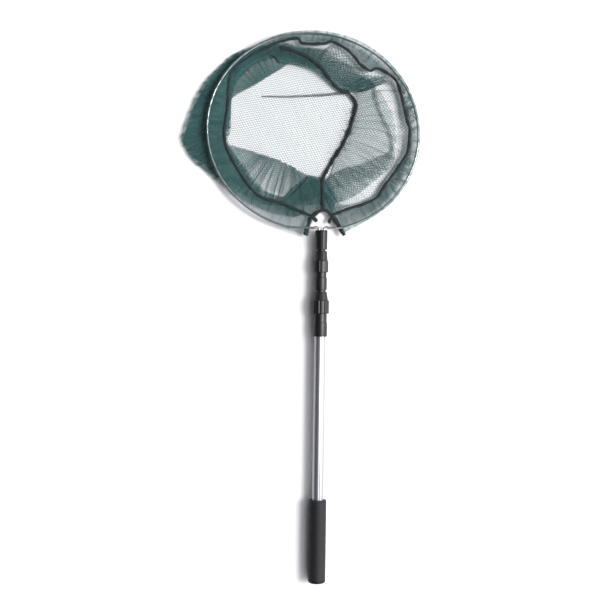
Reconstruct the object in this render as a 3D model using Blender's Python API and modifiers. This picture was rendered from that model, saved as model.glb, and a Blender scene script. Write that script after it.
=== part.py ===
"""Telescopic leaf skimmer net, closed to its carrying length and lying flat with its bag collapsed.

Frame: the origin is the centre of the butt's flat end face, on the pole's axis. +Y runs along the pole to
the hoop and +Z is up, square to the hoop's plane. Lengths are in millimetres and become metres in mm().
Stations are distances along the pole from the butt.
"""

import math

import bmesh
import bpy
from mathutils import Vector

# Pole tubes: outside radius, wall, first and last station
OUTER_TUBE = (9.5, 0.9, 3.6, 440.0)
MIDDLE_TUBE = (8.0, 0.8, 22.0, 514.7)
INNER_TUBE = (6.5, 0.8, 44.0, 562.0)
GROOVE_DEPTH = 0.5
GROOVE_WIDTH = 2.2
GROOVE_ANGLE = 12.0  # degrees from straight up, towards +X
TUBE_SIDES = 36
FIT_GAP = 0.3

# Grip and butt
GRIP_RADIUS = 14.5
GRIP_END = 137.0
CAP_FLANGE = 3.3
CAP_SPIGOT_RADIUS = 7.8
CAP_SPIGOT_END = 13.0

# Twist locks: where the sleeve starts, the neck starts, the thread starts and the thread ends
LOWER_LOCK = (408.0, 431.0, 446.5, 457.0)
UPPER_LOCK = (485.0, 505.5, 515.0, 523.5)
LOCK_TRAVEL_GAP = 2.5  # left above each nut, so that it can unscrew
THREAD_PITCH = 3.0
THREAD_DEPTH = 0.45
FLUTES = 12
SPLIT_WIDTH = 2.0

# Ferrule and hoop
FERRULE = (552.2, 584.3)
FERRULE_RADIUS = 10.1
WIRE_RADIUS = 2.2
LEG_SPACING = 4.0
PIN_RADIUS = 1.2
PIN_STATION = 557.0
LEG_BOTTOM = 565.0
HOOP_CENTRE = (-16.6, 747.6)
HOOP_RADIUS = 169.3
HOOP_OUT_OF_ROUND = 6.7
HOOP_LONG_AXIS = -13.0  # degrees

# Bag: the pole's axis is at height 0, so the surface it lies on is one grip radius below
FLOOR = -GRIP_RADIUS
HEM_WIDTH = 24.0  # of the tilted band, seen from above: its mean, and how much it changes
HEM_CHANGE = 11.0
HEM_NARROW = 25.0  # degrees round the hoop, where it stands steepest
HEM_DROP = 6.6
HEM_WALL = 0.7
HEM_FROM, HEM_TO = -72.0, 258.0  # degrees round the hoop: the gap between is the neck
HEM_STEPS = 44
WALL_THICKNESS = 5.6
BOTTOM_THICKNESS = 1.2
SEAM_RADIUS = 1.1
BULGE = 46.0  # how far the bag lies outside the hoop, at BULGE_ANGLE
BULGE_ANGLE = 176.0
BULGE_SPREAD = 52.0

# The clear bottom of the bag, as points about the hoop's centre
CLEAR_BOTTOM = (
    (-136, 59), (-37, 115), (30, 97), (63, 66), (120, 47), (128, -34), (16, -70), (-3, -69), (-146, -10),
)
SIDE_SEAM = (
    (1, 626, -4.6), (2, 645, -6.4), (2, 664, -6.9), (3, 677, -6.7), (8, 687, -9.4), (15, 698, -11.7),
    (26, 714, -11.9), (45, 744, -11.9), (54, 772, -11.9), (56, 792, -11.9), (50, 802, -11.9),
)
BOTTOM_SEAM = ((31, 832, -6.7), (17, 843, -6.7), (-2, 861, -6.7), (-30, 875, -6.7))
NECK_BINDING = ((-31, 577.5), (-24, 592), (-17, 606), (-8, 614), (1, 620.5), (10, 614), (18, 607), (27, 592), (36, 577.5))
NECK_BINDING_HEIGHT = -5.2


def mm(*values):
    """Millimetres to a vector in metres."""
    return Vector(values) / 1000


def clear_scene():
    for obj in list(bpy.data.objects):
        bpy.data.objects.remove(obj, do_unlink=True)


def material(name, colour, roughness, metallic=0.0):
    found = bpy.data.materials.get(name)
    if found:
        return found
    made = bpy.data.materials.new(name)
    made.use_nodes = True
    shader = made.node_tree.nodes["Principled BSDF"]
    shader.inputs["Base Color"].default_value = (*colour, 1)
    shader.inputs["Roughness"].default_value = roughness
    shader.inputs["Metallic"].default_value = metallic
    return made


def aluminium():
    return material("aluminium", (0.78, 0.79, 0.81), 0.28, 1.0)


def steel():
    return material("steel_wire", (0.82, 0.83, 0.84), 0.22, 1.0)


def black_plastic():
    return material("black_plastic", (0.02, 0.02, 0.025), 0.45)


def black_rubber():
    return material("black_rubber", (0.015, 0.015, 0.018), 0.75)


def grey_nylon():
    return material("grey_nylon", (0.45, 0.46, 0.47), 0.5)


def green_net():
    return material("green_net", (0.02, 0.11, 0.09), 0.8)


def dark_binding():
    return material("dark_binding", (0.008, 0.03, 0.03), 0.85)


def place(obj, collection, parent=None):
    collection.objects.link(obj)
    obj.parent = parent
    return obj


def mesh_object(name, points, edges, faces, paint):
    mesh = bpy.data.meshes.new(name)
    mesh.from_pydata(points, edges, faces)
    obj = bpy.data.objects.new(name, mesh)
    mesh.materials.append(paint)
    return obj


def turned(name, profile, paint, closed=True, sides=TUBE_SIDES):
    """A profile of (radius, station) turned about the pole's axis, its outer side running down."""
    points = [mm(radius, 0, station) for radius, station in profile]
    edges = [(i, i + 1) for i in range(len(points) - 1)]
    if closed:
        edges.append((len(points) - 1, 0))
    obj = mesh_object(name, points, edges, [], paint)
    screw = obj.modifiers.new("turn", "SCREW")
    screw.axis = "Z"
    screw.steps = sides
    screw.render_steps = sides
    screw.use_merge_vertices = True
    screw.merge_threshold = 0.00001
    screw.use_smooth_shade = True
    return obj


def groove_direction():
    """Angle of the groove in a tube's own section plane, whose Y points down on the lying pole."""
    return math.radians(GROOVE_ANGLE - 90)


def grooved_circle(radius):
    """A circle with one shallow pressed groove, whose bottom is a smooth dip."""
    points = []
    half = GROOVE_WIDTH / 2 / radius
    steps = [i * 2 * math.pi / TUBE_SIDES for i in range(TUBE_SIDES)]
    angles = [a for a in steps if half < a < 2 * math.pi - half]
    angles += [half * k / 3 for k in range(-3, 4)]
    for away in sorted(a if a < math.pi else a - 2 * math.pi for a in angles):
        dip = 0.0
        if abs(away) < half:
            dip = GROOVE_DEPTH * math.cos(away / half * math.pi / 2)
        turn = groove_direction() + away
        points.append(mm((radius - dip) * math.cos(turn), (radius - dip) * math.sin(turn), 0))
    return points


def grooved_tube(name, tube, paint):
    """A drawn tube whose wall follows its groove, as an outline with a hole, extruded."""
    radius, wall, first, last = tube
    curve = bpy.data.curves.new(name, "CURVE")
    curve.dimensions = "2D"
    curve.fill_mode = "BOTH"
    curve.extrude = (last - first) / 2000
    for outline in (grooved_circle(radius), grooved_circle(radius - wall)):
        spline = curve.splines.new("POLY")
        spline.points.add(len(outline) - 1)
        for point, at in zip(spline.points, outline):
            point.co = (*at, 1)
        spline.use_cyclic_u = True
    obj = bpy.data.objects.new(name, curve)
    curve.materials.append(paint)
    obj.location = mm(0, 0, (first + last) / 2)
    return obj


def meshed(obj, collection, parent):
    """The same piece as a mesh with its caps welded, so that it can be cut."""
    place(obj, collection, parent)
    bpy.context.view_layer.update()
    graph = bpy.context.evaluated_depsgraph_get()
    mesh = bpy.data.meshes.new_from_object(obj.evaluated_get(graph))
    welded = bmesh.new()
    welded.from_mesh(mesh)
    bmesh.ops.remove_doubles(welded, verts=welded.verts, dist=0.00001)
    welded.to_mesh(mesh)
    welded.free()
    name, at = obj.name, obj.location.copy()
    curve = obj.data
    bpy.data.objects.remove(obj)
    bpy.data.curves.remove(curve)
    solid = bpy.data.objects.new(name, mesh)
    solid.location = at
    return place(solid, collection, parent)


def cut(obj, cutter):
    boolean = obj.modifiers.new("cut " + cutter.name, "BOOLEAN")
    boolean.operation = "DIFFERENCE"
    boolean.object = cutter
    boolean.solver = "EXACT"


def as_cutter(obj):
    obj.hide_render = True
    obj.display_type = "WIRE"
    return obj


def rods(name, centres, radius, first, last, sides=16):
    """Round cutters along the pole, one at each (x, y) of the section plane, as one object."""
    mesh = bmesh.new()
    for x, y in centres:
        made = bmesh.ops.create_cone(
            mesh, cap_ends=True, segments=sides, radius1=radius / 1000, radius2=radius / 1000,
            depth=(last - first) / 1000,
        )
        bmesh.ops.translate(mesh, vec=mm(x, y, (first + last) / 2), verts=made["verts"])
    data = bpy.data.meshes.new(name)
    mesh.to_mesh(data)
    mesh.free()
    return as_cutter(bpy.data.objects.new(name, data))


def groove_rod(name, radius, first, last, rod=1.5):
    """A cutter that lets the tube's groove past a round piece."""
    turn = groove_direction()
    return rods(name, [(radius * math.cos(turn), radius * math.sin(turn))], rod, first, last)


def split_box(name, radius, first, last):
    """A cutter for the slot that lets a clamping ring close."""
    mesh = bmesh.new()
    bmesh.ops.create_cube(mesh, size=1)
    bmesh.ops.scale(mesh, vec=mm(2 * radius, SPLIT_WIDTH, last - first + 4), verts=mesh.verts)
    bmesh.ops.translate(mesh, vec=mm(radius, 0, (first + last) / 2), verts=mesh.verts)
    data = bpy.data.meshes.new(name)
    mesh.to_mesh(data)
    mesh.free()
    return as_cutter(bpy.data.objects.new(name, data))


def make_grip(parts, pole):
    inner = OUTER_TUBE[0] + FIT_GAP
    outer = GRIP_RADIUS
    start = CAP_FLANGE + FIT_GAP
    profile = [
        (outer - 1.2, GRIP_END), (outer - 0.35, GRIP_END - 0.35), (outer, GRIP_END - 1.2),
        (outer, start + 0.3), (outer - 0.3, start), (inner, start), (inner, GRIP_END),
    ]
    place(turned("grip_sleeve", profile, black_rubber()), parts, pole)


def make_butt_cap(parts, pole):
    outer = GRIP_RADIUS
    corner = [
        (outer - 2.4 + 2.4 * math.cos(turn), 2.4 - 2.4 * math.sin(turn))
        for turn in [math.radians(18 * k) for k in range(6)]
    ]
    profile = [
        (0, CAP_SPIGOT_END), (CAP_SPIGOT_RADIUS - 1, CAP_SPIGOT_END),
        (CAP_SPIGOT_RADIUS, CAP_SPIGOT_END - 1.5), (CAP_SPIGOT_RADIUS, CAP_FLANGE),
        (outer, CAP_FLANGE), *corner, (0, 0),
    ]
    place(turned("butt_cap", profile, black_plastic(), closed=False), parts, pole)


def thread_profile(root, first, last):
    """Ridges of the lock's thread, from the top down."""
    ridges = int((last - first) / THREAD_PITCH)
    points = []
    for ridge in range(ridges):
        top = last - ridge * THREAD_PITCH
        points += [
            (root, top - 0.4), (root + THREAD_DEPTH, top - 1.1),
            (root + THREAD_DEPTH, top - 1.9), (root, top - 2.6),
        ]
    return points


def make_lock_base(name, lock, sleeve_radius, neck_radius, thread_root, tube, next_radius, parts, pole):
    """A sleeve fixed on a tube's end, with a threaded neck that the next tube passes through."""
    first, shoulder, thread_start, end = lock
    bore = tube[0] + FIT_GAP
    tube_end = tube[3] + FIT_GAP
    pass_bore = next_radius + 0.35
    profile = [
        (thread_root - 0.6, end), (thread_root, end - 0.6),
        *thread_profile(thread_root, thread_start, end - 0.6), (thread_root, thread_start),
        (neck_radius, thread_start - 0.5), (neck_radius, shoulder),
        (sleeve_radius - 0.5, shoulder), (sleeve_radius, shoulder - 0.8),
        (sleeve_radius, first + 0.8), (sleeve_radius - 0.6, first),
        (bore, first), (bore, tube_end), (pass_bore, tube_end), (pass_bore, end),
    ]
    place(turned(name, profile, black_plastic()), parts, pole)


def make_collet(name, lock, next_radius, thickness, length, parts, cutters, pole):
    """A split taper ring that the nut squeezes on the next tube."""
    first = lock[-1] + 0.5
    inner = next_radius + 0.2
    profile = [
        (inner + 0.55 * thickness, first + length), (inner + thickness, first), (inner, first),
        (inner, first + length),
    ]
    ring = turned(name, profile, grey_nylon())
    place(ring, parts, pole)
    slot = split_box(name + "_slot", inner + 2 * thickness, first, first + length)
    cut(ring, place(slot, cutters, pole))


def make_lock_nut(name, lock, ring_radius, nose, next_radius, thread_root, collet, nut, parts, cutters, pole):
    """The hand nut: a fluted ring and a tapering nose, bored for the thread, the collet and the tube."""
    start, ring_end, nose_end = nut
    collet_thickness, collet_length = collet
    collet_start = lock[-1] + 0.5
    thread_bore = thread_root + THREAD_DEPTH + 0.35
    wide = max(next_radius + 0.2 + collet_thickness + 0.3, thread_root - 0.3)
    narrow = next_radius + 0.2 + 0.55 * collet_thickness + 0.35
    exit_bore = next_radius + 0.4
    profile = [
        (nose[1] - 0.5, nose_end), (nose[1], nose_end - 0.7), (nose[0], ring_end + 1.2),
        (ring_radius - 0.5, ring_end), (ring_radius, ring_end - 1.0), (ring_radius, start + 1.0),
        (ring_radius - 0.8, start), (thread_bore, start), (thread_bore, collet_start - 0.2),
        (wide, collet_start - 0.1), (narrow, collet_start + collet_length + 0.4),
        (exit_bore, collet_start + collet_length + 0.8), (exit_bore, nose_end),
    ]
    body = turned(name, profile, black_plastic())
    place(body, parts, pole)
    flute_radius = 2.3
    reach = ring_radius + flute_radius - 0.75
    turns = [math.radians(15 + k * 360 / FLUTES) for k in range(FLUTES)]
    centres = [(reach * math.cos(turn), reach * math.sin(turn)) for turn in turns]
    flutes = rods(name + "_flutes", centres, flute_radius, start - 2, nose_end + 2, sides=12)
    cut(body, place(flutes, cutters, pole))


def make_guide_bush(name, tube, outside_radius, parts, cutters, pole):
    """The plug in a sliding tube's lower end, which guides it and stops it coming out."""
    radius, wall, first, _ = tube
    spigot = radius - wall - GROOVE_DEPTH - 0.15
    flange_top = first - FIT_GAP
    flange_start = flange_top - 7.7
    bore = spigot - 1.4
    profile = [
        (spigot, flange_top + 10), (spigot, flange_top), (outside_radius, flange_top),
        (outside_radius, flange_start + 0.6), (outside_radius - 0.6, flange_start),
        (bore, flange_start), (bore, flange_top + 10),
    ]
    bush = turned(name, profile, grey_nylon())
    place(bush, parts, pole)
    way = groove_rod(name + "_keyway", outside_radius + 0.5, flange_start - 2, flange_top + 1, 1.6)
    cut(bush, place(way, cutters, pole))


def cross_rod(name, radius, half_length):
    """A round bar across the pole, square to the groove's side."""
    mesh = bmesh.new()
    bmesh.ops.create_cone(
        mesh, cap_ends=True, segments=16, radius1=radius / 1000, radius2=radius / 1000,
        depth=2 * half_length / 1000,
    )
    data = bpy.data.meshes.new(name)
    mesh.to_mesh(data)
    mesh.free()
    bar = bpy.data.objects.new(name, data)
    bar.rotation_euler = (0, math.radians(90), 0)
    bar.location = mm(0, 0, PIN_STATION)
    return bar


def make_inner_tube(parts, cutters, pole):
    tube = meshed(grooved_tube("inner_tube", INNER_TUBE, aluminium()), parts, pole)
    hole = as_cutter(cross_rod("pin_hole", PIN_RADIUS + FIT_GAP, 2 * FERRULE_RADIUS))
    cut(tube, place(hole, cutters, pole))


def make_ferrule_pin(parts, pole):
    """The pin that holds the ferrule on the tube."""
    pin = cross_rod("ferrule_pin", PIN_RADIUS, FERRULE_RADIUS - 0.15)
    pin.data.materials.append(steel())
    place(pin, parts, pole)


def make_ferrule(parts, cutters, pole):
    """The plug on the inner tube that holds the hoop's two legs."""
    first, last = FERRULE
    outer = FERRULE_RADIUS
    bore = INNER_TUBE[0] + FIT_GAP
    profile = [
        (0, last), (outer - 2.6, last), (outer - 1.0, last - 0.8), (outer, last - 2.6),
        (outer, first + 0.6), (outer - 0.6, first), (bore, first),
        (bore, INNER_TUBE[3] + FIT_GAP), (0, INNER_TUBE[3] + FIT_GAP),
    ]
    body = turned("ferrule", profile, black_plastic(), closed=False)
    place(body, parts, pole)
    legs = rods(
        "leg_channels", [(-LEG_SPACING, 0), (LEG_SPACING, 0)], WIRE_RADIUS + FIT_GAP,
        LEG_BOTTOM - 1.2, last + 5,
    )
    cut(body, place(legs, cutters, pole))
    slit = groove_rod("ferrule_slit", outer + 0.1, first + 3, last + 3, 0.8)
    cut(body, place(slit, cutters, pole))
    hole = as_cutter(cross_rod("ferrule_pin_hole", PIN_RADIUS + FIT_GAP, 2 * outer))
    cut(body, place(hole, cutters, pole))


def hoop_point(degrees, inward=0.0):
    """A point of the slightly out-of-round hoop, or that far inside it, in millimetres."""
    turn = math.radians(degrees)
    radius = HOOP_RADIUS + HOOP_OUT_OF_ROUND * math.cos(2 * (turn - math.radians(HOOP_LONG_AXIS)))
    radius -= inward
    return (HOOP_CENTRE[0] + radius * math.cos(turn), HOOP_CENTRE[1] + radius * math.sin(turn))


def smooth_curve(points, steps):
    """Points along a Catmull-Rom curve through the given ones."""
    given = [Vector(p) for p in points]
    ends = [2 * given[0] - given[1], *given, 2 * given[-1] - given[-2]]
    found = []
    for a, b, c, d in zip(ends, ends[1:], ends[2:], ends[3:]):
        for k in range(steps):
            t = k / steps
            found.append(
                0.5 * (2 * b + (c - a) * t + (2 * a - 5 * b + 4 * c - d) * t**2 + (3 * b - a - 3 * c + d) * t**3)
            )
    return [*found, given[-1]]


def wire(name, points, radius, paint, parts):
    """A round rod along points in millimetres."""
    curve = bpy.data.curves.new(name, "CURVE")
    curve.dimensions = "3D"
    curve.bevel_depth = radius / 1000
    curve.bevel_resolution = 2
    curve.use_fill_caps = True
    spline = curve.splines.new("POLY")
    spline.points.add(len(points) - 1)
    for point, at in zip(spline.points, points):
        point.co = (*mm(*at), 1)
    curve.materials.append(paint)
    return place(bpy.data.objects.new(name, curve), parts)


def neck_leg(side):
    """One end of the hoop: up out of the ferrule, over a small hump and out to its side."""
    rise = FERRULE[1]
    x = LEG_SPACING * side
    return smooth_curve(
        [
            (x, LEG_BOTTOM, 0), (x, rise - 6, 0), (x, rise, 0), (x + 1.5 * side, rise + 3.8, 0),
            (x + 5.5 * side, rise + 5.4, 0), (x + 10.5 * side, rise + 4.0, 0),
        ],
        4,
    )


def make_hoop(parts):
    ring = [(*hoop_point(degrees), 0) for degrees in range(-73, 264, 6)]
    points = [*neck_leg(1), *ring, *reversed(neck_leg(-1))]
    wire("hoop", points, WIRE_RADIUS, steel(), parts)


def hem_width(degrees):
    return HEM_WIDTH - HEM_CHANGE * math.cos(math.radians(degrees - HEM_NARROW))


def hem_section(width):
    """The hem's middle surface round the wire, as (inward, up): a loop that closes to a flat band."""
    round_wire = WIRE_RADIUS + 1.5
    middle = 0.35 * width + 5
    loop = [
        (-round_wire * math.sin(turn), round_wire * math.cos(turn))
        for turn in [math.radians(30 * k) for k in range(7)]
    ]
    under = [(middle, -HEM_DROP * 0.6 - 1.3), (width, -HEM_DROP - 0.75)]
    over = [(width, -HEM_DROP + 0.75), (middle, -HEM_DROP * 0.6 + 1.3)]
    return [*loop, *under, *over]


def make_hem_sleeve(parts):
    """The casing that the hoop is threaded through, open at the neck."""
    stations = [HEM_FROM + k * (HEM_TO - HEM_FROM) / HEM_STEPS for k in range(HEM_STEPS + 1)]
    points = [
        mm(*hoop_point(degrees, inward), up)
        for degrees in stations
        for inward, up in hem_section(hem_width(degrees))
    ]
    n = len(hem_section(HEM_WIDTH))
    faces = [
        (s * n + i, s * n + (i + 1) % n, (s + 1) * n + (i + 1) % n, (s + 1) * n + i)
        for s in range(len(stations) - 1)
        for i in range(n)
    ]
    sleeve = mesh_object("hem_sleeve", points, [], faces, green_net())
    solid = sleeve.modifiers.new("cloth", "SOLIDIFY")
    solid.thickness = HEM_WALL / 1000
    solid.offset = 0
    place(sleeve, parts)


def bulge(degrees):
    """How far the bag's outer fold lies outside the hoop: a bell on the bulging side."""
    away = (degrees - BULGE_ANGLE + 180) % 360 - 180
    return BULGE * math.exp(-((away / BULGE_SPREAD * 1.6) ** 2))


def clear_bottom(degrees, outward):
    """Where the ray at that angle crosses the outline of the clear bottom, pushed outward."""
    ray = Vector((math.cos(math.radians(degrees)), math.sin(math.radians(degrees))))
    for start, end in zip(CLEAR_BOTTOM, CLEAR_BOTTOM[1:] + CLEAR_BOTTOM[:1]):
        a, b = Vector(start), Vector(end)
        across = ray.x * (b - a).y - ray.y * (b - a).x
        along_side = (ray.y * a.x - ray.x * a.y) / across
        reach = (a.x * (b - a).y - a.y * (b - a).x) / across
        if reach > 0 and 0 <= along_side <= 1:
            return (reach + outward) * ray + Vector(HOOP_CENTRE)
    raise ValueError("the outline doesn't close round the hoop's centre")


def make_net_wall(parts):
    """The collapsed side of the bag: a folded ring of netting round the clear bottom."""
    around = range(0, 360, 5)
    height = FLOOR + WALL_THICKNESS / 2
    points = []
    for degrees in around:
        inner = clear_bottom(degrees, 0.4)
        outer = hoop_point(degrees, 3 - bulge(degrees))
        points += [mm(inner.x, inner.y, height), mm(outer[0], outer[1], height)]
    n = len(around)
    faces = [
        (2 * k, 2 * k + 1, 2 * ((k + 1) % n) + 1, 2 * ((k + 1) % n)) for k in range(n)
    ]
    ring = mesh_object("net_wall", points, [], faces, green_net())
    solid = ring.modifiers.new("folded netting", "SOLIDIFY")
    solid.thickness = WALL_THICKNESS / 1000
    solid.offset = 0
    place(ring, parts)


def make_net_bottom(parts):
    """The single layer of netting that shows through the mouth."""
    outline = [clear_bottom(degrees, 0) for degrees in range(0, 360, 5)]
    curve = bpy.data.curves.new("net_bottom", "CURVE")
    curve.dimensions = "2D"
    curve.fill_mode = "BOTH"
    curve.extrude = BOTTOM_THICKNESS / 2000
    spline = curve.splines.new("POLY")
    spline.points.add(len(outline) - 1)
    for point, at in zip(spline.points, outline):
        point.co = (*mm(at.x, at.y, 0), 1)
    spline.use_cyclic_u = True
    curve.materials.append(green_net())
    plate = place(bpy.data.objects.new("net_bottom", curve), parts)
    plate.location = mm(0, 0, FLOOR + BOTTOM_THICKNESS / 2)


def make_seams(parts):
    """The dark overlocked seams: hem, neck opening, side and bottom."""
    inset = HEM_WALL / 2 + FIT_GAP + SEAM_RADIUS
    hem_line = [
        (*hoop_point(degrees, hem_width(degrees) + inset), -HEM_DROP) for degrees in range(-66, 253, 6)
    ]
    wire("hem_seam", hem_line, SEAM_RADIUS, dark_binding(), parts)
    neck_line = smooth_curve([(x, y, NECK_BINDING_HEIGHT) for x, y in NECK_BINDING], 3)
    wire("neck_binding", neck_line, SEAM_RADIUS, dark_binding(), parts)
    wire("side_seam", smooth_curve(SIDE_SEAM, 4), SEAM_RADIUS, dark_binding(), parts)
    wire("bottom_seam", smooth_curve(BOTTOM_SEAM, 4), SEAM_RADIUS, dark_binding(), parts)


def make_locks(parts, cutters, pole):
    lower_root, upper_root = 10.4, 9.0
    lower_collet, upper_collet = (1.9, 9.5), (1.7, 8.0)
    make_lock_base("lower_lock_base", LOWER_LOCK, 11.7, 10.9, lower_root, OUTER_TUBE, MIDDLE_TUBE[0], parts, pole)
    make_collet("lower_collet", LOWER_LOCK, MIDDLE_TUBE[0], *lower_collet, parts, cutters, pole)
    lower_nut = (446.0, 468.0, UPPER_LOCK[0] - LOCK_TRAVEL_GAP)
    make_lock_nut(
        "lower_lock_nut", LOWER_LOCK, 14.3, (12.6, 10.6), MIDDLE_TUBE[0], lower_root, lower_collet,
        lower_nut, parts, cutters, pole,
    )
    make_lock_base("upper_lock_base", UPPER_LOCK, 10.3, 9.45, upper_root, MIDDLE_TUBE, INNER_TUBE[0], parts, pole)
    make_collet("upper_collet", UPPER_LOCK, INNER_TUBE[0], *upper_collet, parts, cutters, pole)
    upper_nut = (514.3, 533.5, FERRULE[0] - LOCK_TRAVEL_GAP)
    make_lock_nut(
        "upper_lock_nut", UPPER_LOCK, 12.3, (10.9, 10.2), INNER_TUBE[0], upper_root, upper_collet,
        upper_nut, parts, cutters, pole,
    )


def main():
    clear_scene()
    scene = bpy.context.scene.collection
    parts = bpy.data.collections.new("leaf_skimmer_net")
    cutters = bpy.data.collections.new("cutters")
    scene.children.link(parts)
    scene.children.link(cutters)
    pole = place(bpy.data.objects.new("pole_axis", None), parts)
    pole.rotation_euler = (math.radians(-90), 0, 0)
    make_grip(parts, pole)
    make_butt_cap(parts, pole)
    place(grooved_tube("outer_tube", OUTER_TUBE, aluminium()), parts, pole)
    place(grooved_tube("middle_tube", MIDDLE_TUBE, aluminium()), parts, pole)
    make_inner_tube(parts, cutters, pole)
    make_guide_bush("middle_guide_bush", MIDDLE_TUBE, OUTER_TUBE[0] - OUTER_TUBE[1] - 0.15, parts, cutters, pole)
    make_guide_bush("inner_guide_bush", INNER_TUBE, MIDDLE_TUBE[0] - MIDDLE_TUBE[1] - 0.15, parts, cutters, pole)
    make_locks(parts, cutters, pole)
    make_ferrule(parts, cutters, pole)
    make_ferrule_pin(parts, pole)
    make_hoop(parts)
    make_hem_sleeve(parts)
    make_net_wall(parts)
    make_net_bottom(parts)
    make_seams(parts)


main()
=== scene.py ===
# Telescopic leaf skimmer net, closed and lying flat with its bag collapsed
import math

import bmesh
import bpy
import numpy as np
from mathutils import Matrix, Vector


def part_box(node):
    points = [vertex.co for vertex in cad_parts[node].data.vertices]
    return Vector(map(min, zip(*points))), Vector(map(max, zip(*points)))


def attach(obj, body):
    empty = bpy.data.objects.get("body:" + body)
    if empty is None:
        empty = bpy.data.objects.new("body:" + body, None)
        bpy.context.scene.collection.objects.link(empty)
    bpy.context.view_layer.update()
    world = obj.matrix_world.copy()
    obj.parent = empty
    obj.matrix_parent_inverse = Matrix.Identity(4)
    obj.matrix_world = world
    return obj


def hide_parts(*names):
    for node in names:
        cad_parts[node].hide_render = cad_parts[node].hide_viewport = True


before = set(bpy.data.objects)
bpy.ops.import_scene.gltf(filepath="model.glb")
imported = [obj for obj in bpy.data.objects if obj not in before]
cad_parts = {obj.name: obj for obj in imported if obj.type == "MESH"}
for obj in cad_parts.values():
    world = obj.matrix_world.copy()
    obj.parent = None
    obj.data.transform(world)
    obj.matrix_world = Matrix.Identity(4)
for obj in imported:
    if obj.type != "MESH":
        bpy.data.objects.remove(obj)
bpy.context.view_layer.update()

# Sizes are in millimetres, and meshPiece turns them into metres
# The pole lies along +Y, the hoop in the plane z = 0, and the table at tableHeight
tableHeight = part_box("grip_sleeve")[0][2] * 1000
grooveAngle = math.radians(78)  # of the tubes' pressed groove, from +X up to +Z


def ends(node):
    # where a node starts and ends along the pole
    low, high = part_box(node)
    return low[1] * 1000, high[1] * 1000


def widest(node):
    # outside radius of a round node on the pole
    low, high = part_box(node)
    return (high[2] - low[2]) * 500


def tubeRadius(node):
    # outside radius of a tube, taken across the pole, where the groove doesn't reach
    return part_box(node)[1][0] * 1000


# materials

def linearColour(hexCode):
    # c / 12.92 up to 0.04045, else ((c + 0.055) / 1.055) ^ 2.4
    parts = [int(hexCode[i:i + 2], 16) / 255 for i in (1, 3, 5)]
    return tuple(c / 12.92 if c <= 0.04045 else ((c + 0.055) / 1.055) ** 2.4 for c in parts) + (1.0,)


def addNode(tree, kind, settings=None, links=None):
    # settings and links go by input name; a setting that isn't an input is a property
    node = tree.nodes.new(kind)
    for key, value in (settings or {}).items():
        if key in node.inputs:
            node.inputs[key].default_value = value
        else:
            setattr(node, key, value)
    for key, (source, output) in (links or {}).items():
        tree.links.new(source.outputs[output], node.inputs[key])
    return node


def startMaterial(name, settings):
    material = bpy.data.materials.new(name)
    material.use_nodes = True
    tree = material.node_tree
    shader = tree.nodes["Principled BSDF"]
    for key, value in settings.items():
        shader.inputs[key].default_value = value
    return material, tree, shader


def noiseOn(tree, spot, sizes):
    # noise on object coordinates, in cycles per metre for features of these sizes in mm
    scale = tuple(1000 / size for size in sizes)
    place = addNode(tree, "ShaderNodeMapping", {"Scale": scale}, {"Vector": (spot, "Object")})
    return addNode(tree, "ShaderNodeTexNoise", {"Scale": 1.0, "Detail": 3}, {"Vector": (place, "Vector")})


def colourFrom(tree, shader, noise, low, high):
    ramp = addNode(tree, "ShaderNodeValToRGB", links={"Fac": (noise, "Fac")})
    stops = ramp.color_ramp.elements
    for stop, position, colour in zip(stops, (0.3, 0.7), (low, high)):
        stop.position = position
        stop.color = linearColour(colour)
    tree.links.new(ramp.outputs["Color"], shader.inputs["Base Color"])


def roughnessFrom(tree, shader, noise, low, high):
    spread = addNode(tree, "ShaderNodeMapRange", {"To Min": low, "To Max": high}, {"Value": (noise, "Fac")})
    tree.links.new(spread.outputs["Result"], shader.inputs["Roughness"])


def bumpFrom(tree, shader, noise, strength, height):
    # height of the grain in mm
    settings = {"Strength": strength, "Distance": height / 1000}
    bump = addNode(tree, "ShaderNodeBump", settings, {"Height": (noise, "Fac")})
    tree.links.new(bump.outputs["Normal"], shader.inputs["Normal"])


def grainedMaterial(name, look):
    # a base finish with broad noise for its colour, and finer noise for its roughness and bump
    material, tree, shader = startMaterial(name, look["shader"])
    spot = addNode(tree, "ShaderNodeTexCoord")
    colourFrom(tree, shader, noiseOn(tree, spot, look["patch"]), *look["colours"])
    grain = noiseOn(tree, spot, look["grain"])
    roughnessFrom(tree, shader, grain, *look["roughness"])
    bumpFrom(tree, shader, grain, look["strength"], look["height"])
    return material


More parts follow.
